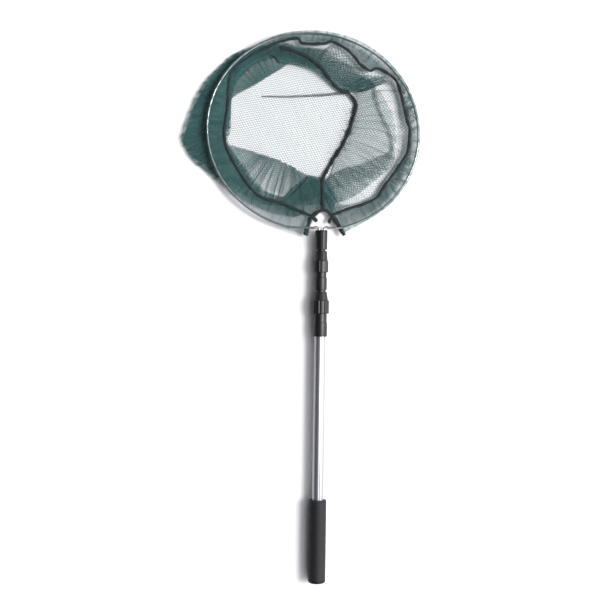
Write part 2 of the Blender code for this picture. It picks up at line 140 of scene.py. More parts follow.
# shader inputs, two colours, sizes of patches and grain in mm, and the grain's range, strength and height
finishes = {
    # drawn aluminium, anodised clear: bright, with long streaks along the draw
    "drawnAluminium": {
        "shader": {"Metallic": 1.0},
        "colours": ("#a9acb0", "#bcbec1"),
        "patch": (1.2, 160, 1.2),
        "grain": (0.35, 60, 0.35),  # real draw lines are finer, and would not show
        "roughness": (0.36, 0.48),
        "strength": 0.25,
        "height": 0.02,
    },
    # spring steel wire, nickel plated: a clear bright line with small dull spots
    "platedSteelWire": {
        "shader": {"Metallic": 1.0},
        "colours": ("#b2b3b4", "#c9c9c7"),
        "patch": (6, 6, 6),
        "grain": (0.8, 0.8, 0.8),
        "roughness": (0.18, 0.32),
        "strength": 0.1,
        "height": 0.01,
    },
    # glass-filled nylon, injection moulded with a fine spark texture: satin black
    "mouldedBlackNylon": {
        "shader": {"Metallic": 0.0, "IOR": 1.46},
        "colours": ("#0b0b0f", "#15151a"),
        "patch": (9, 14, 9),
        "grain": (0.5, 0.5, 0.5),  # coarser than the real spark grain, so that it shows
        "roughness": (0.34, 0.5),
        "strength": 0.18,
        "height": 0.03,
    },
    # nylon in its own colour, moulded: waxy pale grey
    "mouldedGreyNylon": {
        "shader": {"Metallic": 0.0, "IOR": 1.53, "Subsurface Weight": 0.05},
        "colours": ("#8e9092", "#a3a5a6"),
        "patch": (8, 8, 8),
        "grain": (0.6, 0.6, 0.6),
        "roughness": (0.4, 0.55),
        "strength": 0.1,
        "height": 0.02,
    },
    # foamed nitrile rubber, extruded and ground to fine ribs: dull, dusty black
    "foamRubber": {
        "shader": {"Metallic": 0.0, "IOR": 1.46, "Sheen Weight": 0.02, "Sheen Roughness": 0.5},
        "colours": ("#0c0c0f", "#151519"),
        "patch": (6, 6, 6),
        "grain": (0.45, 0.45, 0.45),
        "roughness": (0.6, 0.8),
        "strength": 0.4,
        "height": 0.08,
    },
    # dyed polyester yarn, warp knitted to a mesh: dark green, uneven along its length
    "knittedGreenYarn": {
        "shader": {"Metallic": 0.0, "IOR": 1.55},
        "colours": ("#274f4f", "#3e6c6a"),
        "patch": (22, 22, 22),
        "grain": (0.5, 0.5, 0.5),
        "roughness": (0.5, 0.7),
        "strength": 0.3,
        "height": 0.04,
    },
    # overlocked seam of textured polyester thread: nearly black, with a soft green cast
    "overlockedThread": {
        "shader": {"Metallic": 0.0, "IOR": 1.5, "Sheen Weight": 0.08, "Sheen Roughness": 0.4},
        "colours": ("#081114", "#122426"),
        "patch": (5, 5, 5),
        "grain": (0.4, 0.4, 0.4),
        "roughness": (0.7, 0.9),
        "strength": 0.5,
        "height": 0.1,
    },
    # painted table top: plain matt white
    "paintedTable": {
        "shader": {"Metallic": 0.0},
        "colours": ("#f2f2f3", "#f6f6f6"),
        "patch": (300, 300, 300),
        "grain": (3, 3, 3),
        "roughness": (0.6, 0.7),
        "strength": 0.02,
        "height": 0.02,
    },
}
paint = {name: grainedMaterial(name, look) for name, look in finishes.items()}
print("materials:", len(paint))


# meshes

def meshPiece(name, points, quads, finish, sharp=35, poles=False):
    # points in mm, quads as rows of four indices; turned outwards if the signed volume is negative
    points = np.asarray(points, float).reshape(-1, 3) / 1000
    a, b, c, d = (points[quads[:, k]] for k in range(4))
    volume = (np.cross(b - a, c - a) * a).sum() + (np.cross(c - a, d - a) * a).sum()
    quads = quads[:, ::-1] if volume < 0 else quads
    mesh = bpy.data.meshes.new(name)
    mesh.vertices.add(len(points))
    mesh.vertices.foreach_set("co", points.ravel())
    mesh.loops.add(quads.size)
    mesh.loops.foreach_set("vertex_index", np.ascontiguousarray(quads).ravel())
    mesh.polygons.add(len(quads))
    mesh.polygons.foreach_set("loop_start", np.arange(0, quads.size, 4))
    mesh.update(calc_edges=True)
    if poles:
        welded = bmesh.new()
        welded.from_mesh(mesh)
        bmesh.ops.remove_doubles(welded, verts=welded.verts, dist=1e-7)
        welded.to_mesh(mesh)
        welded.free()
    mesh.polygons.foreach_set("use_smooth", np.ones(len(mesh.polygons), bool))
    if sharp:
        mesh.set_sharp_from_angle(angle=math.radians(sharp))
    mesh.materials.append(paint[finish])
    piece = bpy.data.objects.new(name, mesh)
    bpy.context.scene.collection.objects.link(piece)
    return piece


def gridQuads(rows, columns, closedRows, closedColumns):
    # one quad for each cell of a grid; a closed direction joins its last line to its first
    i = np.arange(rows if closedRows else rows - 1)[:, None]
    j = np.arange(columns if closedColumns else columns - 1)[None, :]
    nextI, nextJ = (i + 1) % rows, (j + 1) % columns
    corners = (i * columns + j, i * columns + nextJ, nextI * columns + nextJ, nextI * columns + j)
    return np.stack(np.broadcast_arrays(*corners), -1).reshape(-1, 4)


def roundedLoop(corners, radius, steps=4):
    # each corner C becomes (1 - t)^2 A + 2 t (1 - t) C + t^2 B, with A and B up to radius along its sides
    corners = np.asarray(corners, float)
    before, after = np.roll(corners, 1, 0) - corners, np.roll(corners, -1, 0) - corners
    sizes = [np.linalg.norm(side, axis=1, keepdims=True) for side in (before, after)]
    start = corners + before * np.minimum(radius / sizes[0], 0.45)
    end = corners + after * np.minimum(radius / sizes[1], 0.45)
    t = np.linspace(0, 1, steps + 1)[None, :, None]
    arcs = (1 - t) ** 2 * start[:, None] + 2 * t * (1 - t) * corners[:, None] + t**2 * end[:, None]
    return arcs.reshape(-1, 2)


def turnedPiece(name, profile, finish, sides=96, shape=None, sharp=35):
    # point = (r cos a, s, r sin a) for a closed loop of (r, s); shape(a, s, r) may cut flutes or a groove
    profile = np.asarray(profile, float)
    a = np.linspace(0, 2 * math.pi, sides, endpoint=False)[None, :]
    r = np.repeat(profile[:, :1], sides, 1)
    s = np.repeat(profile[:, 1:], sides, 1)
    if shape:
        r = shape(np.broadcast_to(a, r.shape), s, r)
    points = np.stack([r * np.cos(a), s, r * np.sin(a)], -1)
    quads = gridQuads(len(profile), sides, True, True)
    return meshPiece(name, points, quads, finish, sharp, poles=bool((profile[:, 0] == 0).any()))


def smoothPath(points, steps):
    # Catmull-Rom: half of 2b + (c - a) t + (2a - 5b + 4c - d) t^2 + (3b - a - 3c + d) t^3
    given = np.asarray(points, float)
    padded = np.vstack([2 * given[0] - given[1], given, 2 * given[-1] - given[-2]])
    a, b, c, d = (padded[k:len(padded) - 3 + k, None] for k in range(4))
    t = np.linspace(0, 1, steps, endpoint=False)[None, :, None]
    spans = 0.5 * (2 * b + (c - a) * t + (2 * a - 5 * b + 4 * c - d) * t**2 + (3 * b - a - 3 * c + d) * t**3)
    return np.vstack([spans.reshape(-1, given.shape[1]), given[-1:]])


def evenPath(points, count):
    # the same path with its points evenly spaced along it
    points = np.asarray(points, float)
    run = np.append(0, np.cumsum(np.linalg.norm(np.diff(points, axis=0), axis=1)))
    at = np.linspace(0, run[-1], count)
    return np.stack([np.interp(at, run, points[:, k]) for k in range(points.shape[1])], -1)


def unit(vectors):
    return vectors / np.maximum(np.linalg.norm(vectors, axis=-1, keepdims=True), 1e-12)


def sweptPiece(name, path, finish, width, height, sides, shape=None):
    # an ellipse of half axes width and height carried along a path, drawn to a point at both ends
    # its frame is the tangent, the level side and the rise square to both
    path = np.asarray(path, float)
    tangent = unit(np.gradient(path, axis=0))
    side = unit(np.cross(tangent, (0, 0, 1)))
    rise = np.cross(side, tangent)
    a = np.linspace(0, 2 * math.pi, sides, endpoint=False)[None, :]
    along = np.append(0, np.cumsum(np.linalg.norm(np.diff(path, axis=0), axis=1)))[:, None]
    swell = shape(a, along) if shape else np.ones((len(path), sides))
    across = (width * swell * np.cos(a))[..., None] * side[:, None]
    upward = (height * swell * np.sin(a))[..., None] * rise[:, None]
    rings = path[:, None] + across + upward
    rings = np.concatenate([np.repeat(path[:1, None], sides, 1), rings, np.repeat(path[-1:, None], sides, 1)])
    return meshPiece(name, rings, gridQuads(len(rings), sides, False, True), finish, None, poles=True)


def ridden(piece, body, slot, *nodes):
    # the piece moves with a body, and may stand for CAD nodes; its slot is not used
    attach(piece, body)
    if nodes:
        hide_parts(*nodes)
    return piece


# grip and butt cap

grip = {
    "ribPitch": 3.5,
    "ribDepth": 0.32,
    "endRound": 1.6,
    "stepsPerRib": 8,
    "capRound": 2.6,
    "spigotGap": 1.8,  # from the outer tube's outside to the cap's spigot
}


def makeGrip():
    # outside r = R - depth (1 - |sin(pi s / pitch)|), dropping by a quarter circle at both ends
    first, last = ends("grip_sleeve")
    outer, inner = widest("grip_sleeve"), widest("outer_tube") + 0.1
    count = int((last - first) / grip["ribPitch"] * grip["stepsPerRib"])
    s = np.linspace(last, first, count)
    fromEnd = np.minimum(s - first, last - s)
    cut = np.clip(1 - fromEnd / grip["endRound"], 0, 1)
    r = outer - grip["ribDepth"] * (1 - np.abs(np.sin(math.pi * (s - first) / grip["ribPitch"])))
    r = r - grip["endRound"] * (1 - np.sqrt(1 - cut**2))
    profile = np.vstack([np.stack([r, s], -1), [(inner, first), (inner, last)]])
    piece = turnedPiece("gripSleeve", profile, "foamRubber", 112, sharp=50)
    ridden(piece, "handle", "black_rubber", "grip_sleeve")


def makeButtCap():
    # a flat disc with a quarter-round rim; its spigot fits inside the tube
    first, last = ends("butt_cap")
    outer = widest("butt_cap") - 0.1
    flange = ends("grip_sleeve")[0]
    spigot = widest("outer_tube") - grip["spigotGap"]
    turn = np.linspace(0, math.pi / 2, 9)
    rim = grip["capRound"]
    corner = np.stack([outer - rim + rim * np.cos(turn), rim - rim * np.sin(turn) + first], -1)
    top = [(0, last), (spigot - 1, last), (spigot, last - 1.2), (spigot, flange), (outer - 0.3, flange)]
    profile = np.vstack([top, [(outer, flange - 0.3)], corner, [(0, first)]])
    piece = turnedPiece("buttCap", profile, "mouldedBlackNylon")
    ridden(piece, "handle", "black_plastic", "butt_cap")


# tubes

tubes = {
    "outer_tube": {"wall": 0.9, "body": "handle", "name": "outerTube"},
    "middle_tube": {"wall": 0.8, "body": "middle_section", "name": "middleTube"},
    "inner_tube": {"wall": 0.8, "body": "net_head", "name": "innerTube"},
}
groove = {"depth": 0.55, "halfWidth": 1.15}


def fromGroove(a, r):
    # distance round the pole from the groove's middle
    return np.abs((a - grooveAngle + math.pi) % (2 * math.pi) - math.pi) * r


def grooved(a, s, r):
    # r - depth cos^2(pi d / 2 w) where d, the distance from the groove's middle, is less than w
    away = fromGroove(a, r)
    return r - groove["depth"] * np.cos(np.clip(away / groove["halfWidth"], 0, 1) * math.pi / 2) ** 2


def makeTube(node, look):
    first, last = ends(node)
    outer = tubeRadius(node)
    inner = outer - look["wall"]
    corners = [(outer, first), (inner, first), (inner, last), (outer, last)]
    profile = roundedLoop(corners, 0.25, 2)
    piece = turnedPiece(look["name"], profile, "drawnAluminium", 180, grooved)
    ridden(piece, look["body"], "aluminium", node)


# twist locks

# places along the pole, radii and groove depths in mm
locks = {
    "lower": {
        "base": "lower_lock_base", "collet": "lower_collet", "nut": "lower_lock_nut",
        "fixedTube": "outer_tube", "tube": "middle_tube",
        "bodies": ("handle", "lower_clamp", "lower_nut"),
        "neckStart": 431.0, "threadStart": 446.5, "ringEnd": 468.0,
        "neckRadius": 10.9, "threadRoot": 10.2, "noseRadii": (12.7, 10.6),
        "grooves": 10, "grooveDepth": 1.0,
    },
    "upper": {
        "base": "upper_lock_base", "collet": "upper_collet", "nut": "upper_lock_nut",
        "fixedTube": "middle_tube", "tube": "inner_tube",
        "bodies": ("middle_section", "upper_clamp", "upper_nut"),
        "neckStart": 505.5, "threadStart": 515.0, "ringEnd": 533.5,
        "neckRadius": 9.45, "threadRoot": 8.85, "noseRadii": (11.2, 10.2),
        "grooves": 8, "grooveDepth": 0.6,
    },
}
threadForm = {"pitch": 3.0, "depth": 0.5, "stepsPerTurn": 10}
nutForm = {"boreGap": 0.2, "taper": 11, "grooveWidth": 0.9, "grooveTurn": 0.32, "facets": 8, "facetTurn": 28}
colletSlot = 0.12  # half the slot's angle in radians


def makeLockBase(name, lock):
    # sleeve, neck and thread: r = root + depth (0.5 + 0.5 cos(a + 2 pi s / pitch))^2, a true helix
    first, last = ends(lock["base"])
    sleeve = widest(lock["base"])
    inner = tubeRadius(lock["fixedTube"]) + 0.05
    passing = tubeRadius(lock["tube"]) + 0.35
    tubeEnd = ends(lock["fixedTube"])[1] + 0.2
    outside = roundedLoop(
        [
            (lock["threadRoot"], last), (lock["threadRoot"], lock["threadStart"]),
            (lock["neckRadius"], lock["threadStart"] - 0.4), (lock["neckRadius"], lock["neckStart"]),
            (sleeve, lock["neckStart"]), (sleeve, first), (inner, first), (inner, tubeEnd),
            (passing, tubeEnd), (passing, last),
        ],
        0.7,
    )
    turns = (last - lock["threadStart"]) / threadForm["pitch"]
    s = np.linspace(last - 0.8, lock["threadStart"], int(turns * threadForm["stepsPerTurn"]))
    thread = np.stack([np.full(len(s), lock["threadRoot"]), s], -1)
    # the thread stands between the first two rounded corners, of five points each
    profile = np.vstack([outside[:5], thread, outside[5:]])

    def threaded(a, s, r):
        inThread = (s > lock["threadStart"] + 0.3) & (s < last - 0.7) & (r > passing + 0.1)
        wave = 0.5 + 0.5 * np.cos(a + 2 * math.pi * s / threadForm["pitch"])
        return r + np.where(inThread, threadForm["depth"] * wave**2, 0)

    piece = turnedPiece(name + "LockBase", profile, "mouldedBlackNylon", 96, threaded)
    ridden(piece, lock["bodies"][0], "black_plastic", lock["base"])


def makeCollet(name, lock):
    # a taper ring, open along a slot: point = (r cos a, s, r sin a) with a leaving out the slot
    first, last = ends(lock["collet"])
    inner = tubeRadius(lock["tube"]) + 0.2
    outer = widest(lock["collet"])
    profile = roundedLoop(
        [(inner + 0.55 * (outer - inner), last), (outer, first), (inner, first), (inner, last)], 0.4, 2
    )
    a = np.linspace(colletSlot, 2 * math.pi - colletSlot, 80)[None, :]
    r, s = profile[:, :1], np.repeat(profile[:, 1:], a.shape[1], 1)
    rings = np.stack([r * np.cos(a), s, r * np.sin(a)], -1)
    middle = rings.mean(0, keepdims=True)
    capped = np.concatenate(
        [np.repeat(middle[:, :1], len(rings), 0), rings, np.repeat(middle[:, -1:], len(rings), 0)], 1
    )
    quads = gridQuads(capped.shape[0], capped.shape[1], True, False)
    piece = meshPiece(name + "Collet", capped, quads, "mouldedGreyNylon", poles=True)
    ridden(piece, lock["bodies"][1], "grey_nylon", lock["collet"])


def makeLockNut(name, lock):
    # ring with thumb grooves r - depth exp(-(d / width)^2), and a nose that is slightly eight-sided
    first, last = ends(lock["nut"])
    ring = widest(lock["nut"])
    bore = lock["threadRoot"] + threadForm["depth"] + nutForm["boreGap"]
    exitBore = tubeRadius(lock["tube"]) + 0.4
    shoulder = ends(lock["base"])[1]
    wide, narrow = lock["noseRadii"]
    profile = roundedLoop(
        [
            (narrow, last), (wide, lock["ringEnd"] + 1.4), (wide + 0.2, lock["ringEnd"] + 0.2),
            (ring, lock["ringEnd"] - 0.2), (ring, first), (bore, first), (bore, shoulder + 0.2),
            (exitBore, shoulder + nutForm["taper"]), (exitBore, last),
        ],
        1.0,
    )
    # more points go along the ring, after its first four rounded corners of five points each
    ringSteps = np.linspace(lock["ringEnd"] - 1.5, first + 1.5, 6)
    ringPoints = np.stack([np.full_like(ringSteps, ring), ringSteps], -1)
    profile = np.vstack([profile[:20], ringPoints, profile[20:]])

    def gripped(a, s, r):
        pitch = 2 * math.pi / lock["grooves"]
        away = np.abs((a - grooveAngle - nutForm["grooveTurn"] + pitch / 2) % pitch - pitch / 2) * r
        onRing = (r > bore + 0.3) & (s < lock["ringEnd"] + 0.1)
        r = r - np.where(onRing, lock["grooveDepth"] * np.exp(-(away / nutForm["grooveWidth"]) ** 2), 0)
        half = math.pi / nutForm["facets"]
        facet = math.cos(half) / np.cos((a - math.radians(nutForm["facetTurn"])) % (2 * half) - half)
        # the nose keeps a little of the polygon's shape, with its flats eased
        onNose = (r > exitBore + 0.6) & (s > lock["ringEnd"] + 0.1)
        return np.where(onNose, r * (0.35 + 0.65 * np.maximum(facet, 0.95)), r)

    piece = turnedPiece(name + "LockNut", profile, "mouldedBlackNylon", 240, gripped)
    ridden(piece, lock["bodies"][2], "black_plastic", lock["nut"])


skirts = {
    "lower": {"tube": "middle_tube", "under": "upper_lock_base", "body": "middle_section"},
    "upper": {"tube": "inner_tube", "under": "ferrule", "body": "net_head"},
}
skirtForm = {"length": 2.3, "wall": 0.26}


def makeSkirt(name, look):
    # thin collar round the tube that covers the gap above a nut; a loosened nut's bore slides over it
    last = ends(look["under"])[0]
    first = last - skirtForm["length"]
    inner = tubeRadius(look["tube"]) + 0.04
    outer = inner + skirtForm["wall"]
    profile = roundedLoop([(outer, first), (inner, first), (inner, last), (outer, last)], 0.08, 2)
    piece = turnedPiece(name + "Skirt", profile, "mouldedBlackNylon", 96)
    ridden(piece, look["body"], "black_plastic")


# ferrule, its pin and the hoop

ferrule = {"tipRound": 2.2, "slitHalfWidth": 0.75, "slitDepth": 1.5, "slitFlank": 1.4, "sideSteps": 12}
hoop = {
    "centre": (-16.6, 747.6),
    "radius": 169.3,
    "outOfRound": 6.7,
    "longAxis": -13.0,  # degrees
    "wireRadius": 1.9,
    "legSpacing": 4.0,  # from the pole's axis
    "legRise": [(1.5, 3.8), (5.5, 5.4), (10.5, 4.0)],  # steps sideways and past the ferrule's tip
    "fromDegrees": -72,
    "toDegrees": 263,
}


def makeFerrule():
    # a plug with a saw slit along its whole length, over the tubes' groove
    first, last = ends("ferrule")
    outer = widest("ferrule")
    inner = tubeRadius("inner_tube") + 0.1
    bottom = ends("inner_tube")[1] + 0.5
    tip = ferrule["tipRound"]
    turn = np.linspace(math.pi / 2, 0, 7)
    crown = np.stack([outer - tip + tip * np.cos(turn), last - tip + tip * np.sin(turn)], -1)
    flank = np.linspace(last - tip - 1, first + 1.5, ferrule["sideSteps"])
    profile = np.vstack(
        [
            [(0, last)], crown, np.stack([np.full_like(flank, outer), flank], -1), [(outer, first + 0.5)],
            [(outer - 0.5, first), (inner, first), (inner, bottom), (0, bottom)],
        ]
    )

    def slitted(a, s, r):
        away = fromGroove(a, r)
        inside = np.clip(ferrule["slitFlank"] - away / ferrule["slitHalfWidth"], 0, 1)
        return r - np.where(r > inner + 1, ferrule["slitDepth"] * inside, 0)

    piece = turnedPiece("ferruleBody", profile, "mouldedBlackNylon", 240, slitted)
    ridden(piece, "net_head", "black_plastic", "ferrule")


def wireReach(turn):
    # r = radius + outOfRound cos(2 (a - longAxis)) about the hoop's centre
    return hoop["radius"] + hoop["outOfRound"] * np.cos(2 * (turn - math.radians(hoop["longAxis"])))


def makeHoop():
    # each leg rises out of the ferrule, humps over and runs out into the ring
    tip = ends("ferrule")[1]
    foot = ends("hoop")[0]

    def leg(side):
        x = hoop["legSpacing"] * side
        straight = [(x, y, 0) for y in (foot, tip - 6, tip)]
        return straight + [(x + out * side, tip + up, 0) for out, up in hoop["legRise"]]

    turn = np.radians(np.arange(hoop["fromDegrees"], hoop["toDegrees"], 5.0))
    x = hoop["centre"][0] + wireReach(turn) * np.cos(turn)
    y = hoop["centre"][1] + wireReach(turn) * np.sin(turn)
    ring = np.stack([x, y, np.zeros_like(x)], -1)
    path = smoothPath(np.vstack([leg(1), ring, leg(-1)[::-1]]), 6)
    piece = sweptPiece("hoopWire", path, "platedSteelWire", hoop["wireRadius"], hoop["wireRadius"], 16)
    ridden(piece, "net_head", "steel_wire", "hoop")


print("making the pole")
makeGrip()
makeButtCap()
for node, look in tubes.items():
    makeTube(node, look)
for name, lock in locks.items():
    makeLockBase(name, lock)
    makeCollet(name, lock)
    makeLockNut(name, lock)
for name, look in skirts.items():
    makeSkirt(name, look)
makeFerrule()
makeHoop()
cadFinishes = {
    "middle_guide_bush": "mouldedGreyNylon",
    "inner_guide_bush": "mouldedGreyNylon",
    "ferrule_pin": "platedSteelWire",
}
for node, finish in cadFinishes.items():
    materials = bpy.data.objects[node].data.materials
    materials.clear()
    materials.append(paint[finish])


# netting

netting = {
    # a warp knitted mesh with cells of 4.4 by 6.2 mm, whose threads cross at about 70 degrees
    "columnWidth": 2.2,
    "rowHeight": 3.1,
    "thread": 0.36,  # side of the square thread
    "joint": 0.45,  # half the length over which two neighbours run side by side
    "nest": 0.4,  # share of the thread by which neighbours stand apart across the net where they meet
    "stagger": 0.3,  # share of the thread by which they lie above or below the net's middle
    "wander": 0.8,  # slow drift in mm
}


def wander(x, y, phase):
    # slow uneven drift of the mesh: a sum of four waves, from -1 to 1
    return (
        np.sin(x / 17 + 1.3 * phase) * np.cos(y / 23 + phase) * 0.5
        + np.sin((x + y) / 11 + 2.1 * phase) * 0.3
        + np.cos((x - 2 * y) / 31 - phase) * 0.2
    )


def drifted(x, y, size, phaseX, phaseY):
    # a point moved by up to size in x and in y
    return x + size * wander(x, y, phaseX), y + size * wander(y, x, phaseY)


def bindThreads(name, points, normals, keep, thread, finish):
    # points is a table of threads by rings, and each ring is a square of side t about its point
    # a run of kept rings makes one closed tube
    tangent = unit(np.gradient(points, axis=1))
    side = unit(np.cross(tangent, normals)) * thread / 2
    lift = unit(np.cross(side, tangent)) * thread / 2
    corners = (side + lift, side - lift, -side - lift, -side + lift)
    ring = np.stack([points + corner for corner in corners], 2)
    bars = keep[:, :-1] & keep[:, 1:]
    edge = np.zeros((len(bars), 1), bool)
    first = np.hstack([bars & ~np.hstack([edge, bars[:, :-1]]), edge])
    last = np.hstack([edge, bars & ~np.hstack([bars[:, 1:], edge])])
    corner = 4 * np.arange(first.size).reshape(first.shape)[..., None]
    k = np.arange(4)[:, None]
    wall = np.hstack([k, (k + 1) % 4, (k + 1) % 4 + 4, k + 4])
    quads = np.vstack(
        [
            (corner[:, :-1][bars][:, :, None] + wall).reshape(-1, 4),
            corner[first] + np.array([3, 2, 1, 0]),
            corner[last] + np.array([0, 1, 2, 3]),
        ]
    )
    used = np.zeros(first.size * 4, bool)
    used[quads] = True
    return meshPiece(name, ring.reshape(-1, 3)[used], (np.cumsum(used) - 1)[quads], finish, None)


def knit(name, surface, columns, rows, joints, keep=None):
    # thread i zigzags between u = i and i + 1 and meets its neighbours, turn about, at every row
    # its middle is surface(u, s), with u counted in columns and s in mm along the net
    i = np.arange(*columns)[:, None]
    j = np.arange(rows)[None, :]
    lean = (i + j) % 2
    u = i + lean + np.where(lean > 0, -1, 1) * netting["nest"] * netting["thread"] / netting["columnWidth"]
    s = np.broadcast_to(j * netting["rowHeight"], u.shape)
    if joints:
        u = np.repeat(u, 2, 1)
        s = np.repeat(s, 2, 1) + np.tile([-netting["joint"], netting["joint"]], rows)
    middle = surface(u, s)
    across = surface(u + 0.01, s) - surface(u - 0.01, s)
    along = surface(u, s + 0.01) - surface(u, s - 0.01)
    normals = unit(np.cross(across, along))
    offset = netting["stagger"] * netting["thread"] * np.where(i % 2 == 0, 1, -1)
    middle = middle + normals * offset[..., None]
    middle[..., 2] = np.maximum(middle[..., 2], tableHeight + 0.6 * netting["thread"])
    kept = np.ones(s.shape, bool) if keep is None else keep(u, s)
    piece = bindThreads(name, middle, normals, kept, netting["thread"], "knittedGreenYarn")
    ridden(piece, "net_head", "green_net")
    return piece, (kept[:, 1:] & kept[:, :-1]).sum() / (2 if joints else 1), kept


def declareNet(piece, bars, width, length):
    # the cloth is open, so its area is that of its own yarn, side t on two faces: bars x length x 2 t
    bar = math.hypot(netting["columnWidth"], netting["rowHeight"])
    area = bars * bar * 2 * netting["thread"] / 1e6
    share = area / (width * length / 1e6)
    faces = len(piece.data.polygons)
    print(f"{piece.name}: cut {width:.0f} x {length:.0f} mm, yarn {share:.2f}, faces {faces}")


def reachOf(outline, centre):
    # distance from the centre to an outline, as a function of the direction
    path = np.vstack([outline, outline[:3]])
    path = evenPath(smoothPath(path, 8)[8:-8], 900) - centre
    angle = np.arctan2(path[:, 1], path[:, 0])
    distance = np.linalg.norm(path, axis=1)
    return lambda direction: np.interp(direction, angle, distance, period=2 * math.pi)


def columnTurns(spacing, radius):
    # columns passed by each angle: the sum of dA r / width, scaled to an even count round the net
    angles = np.radians(np.arange(-90, 271))
    degrees = sorted(spacing)
    widths = np.interp(np.degrees(angles), degrees, [spacing[d] for d in degrees])
    steps = radius * np.diff(angles) / ((widths[1:] + widths[:-1]) / 2)
    total = np.append(0, np.cumsum(steps))
    count = 2 * int(round(total[-1] / 2))
    total = total * count / total[-1]
    return count, total, angles


def cutColumns(turns, cuts):
    # the even column nearest to each cut, given in degrees
    total, angles = turns[1:]
    return [2 * int(round(np.interp(math.radians(cut), angles, total) / 2)) for cut in cuts]


def loftedNet(centre, rails, turns, sway, puff):
    # along each direction a from the centre the net runs in straight spans from rail to rail
    # point = centre + r(s) (cos a, sin a), height z(s), where s is the length along the spans
    count, total, angles = turns
    reaches, heights = zip(*rails)
    heights = np.array(heights)

    def spans(angle):
        turned = (angle + math.pi) % (2 * math.pi) - math.pi
        reach = np.stack([reachAt(turned) for reachAt in reaches])
        drops = np.diff(heights).reshape((-1,) + (1,) * angle.ndim)
        sizes = np.hypot(np.diff(reach, axis=0), drops)
        return reach, np.concatenate([np.zeros_like(sizes[:1]), np.cumsum(sizes, axis=0)])

    def turnAt(u):
        return np.interp(u % count, total, angles) + 2 * math.pi * np.floor(u / count)

    def lengthAt(u):
        return spans(turnAt(u))[1][-1]

    def surface(u, s):
        angle = turnAt(u)
        reach, joins = spans(angle)
        s = np.clip(s, 0, joins[-1])
        k = np.clip((s >= joins[1:-1]).sum(0), 0, len(rails) - 2)

        def pick(table, at):
            return np.take_along_axis(table, at[None], 0)[0]

        start = pick(joins, k)
        size = pick(joins, k + 1) - start
        f = (s - start) / np.maximum(size, 1e-6)
        r = pick(reach, k) + f * (pick(reach, k + 1) - pick(reach, k))
        z = heights[k] + f * (heights[k + 1] - heights[k])
        # the columns lean to and fro in two broad waves, in radians, and bunch up in two fine ones
        # all four fade out at the net's two ends, where the columns keep their places
        lean = 0.05 * np.sin(3 * angle + s / 45) + 0.02 * np.sin(11 * angle - s / 26 + 1)
        lean = lean + 0.009 * np.sin(61 * angle + 2 * np.sin(s / 37)) + 0.005 * np.sin(97 * angle - s / 19)
        angle = angle + sway * lean * np.sin(math.pi * s / joins[-1])
        x, y = centre[0] + r * np.cos(angle), centre[1] + r * np.sin(angle)
        x, y = drifted(x, y, netting["wander"], 1 + k, 3 + k)
        z = z + puff * wander(x, y, 5 + 2 * k) * np.sin(math.pi * f)
        return np.stack([x + hoop["centre"][0], y + hoop["centre"][1], z], -1)

    return surface, lengthAt


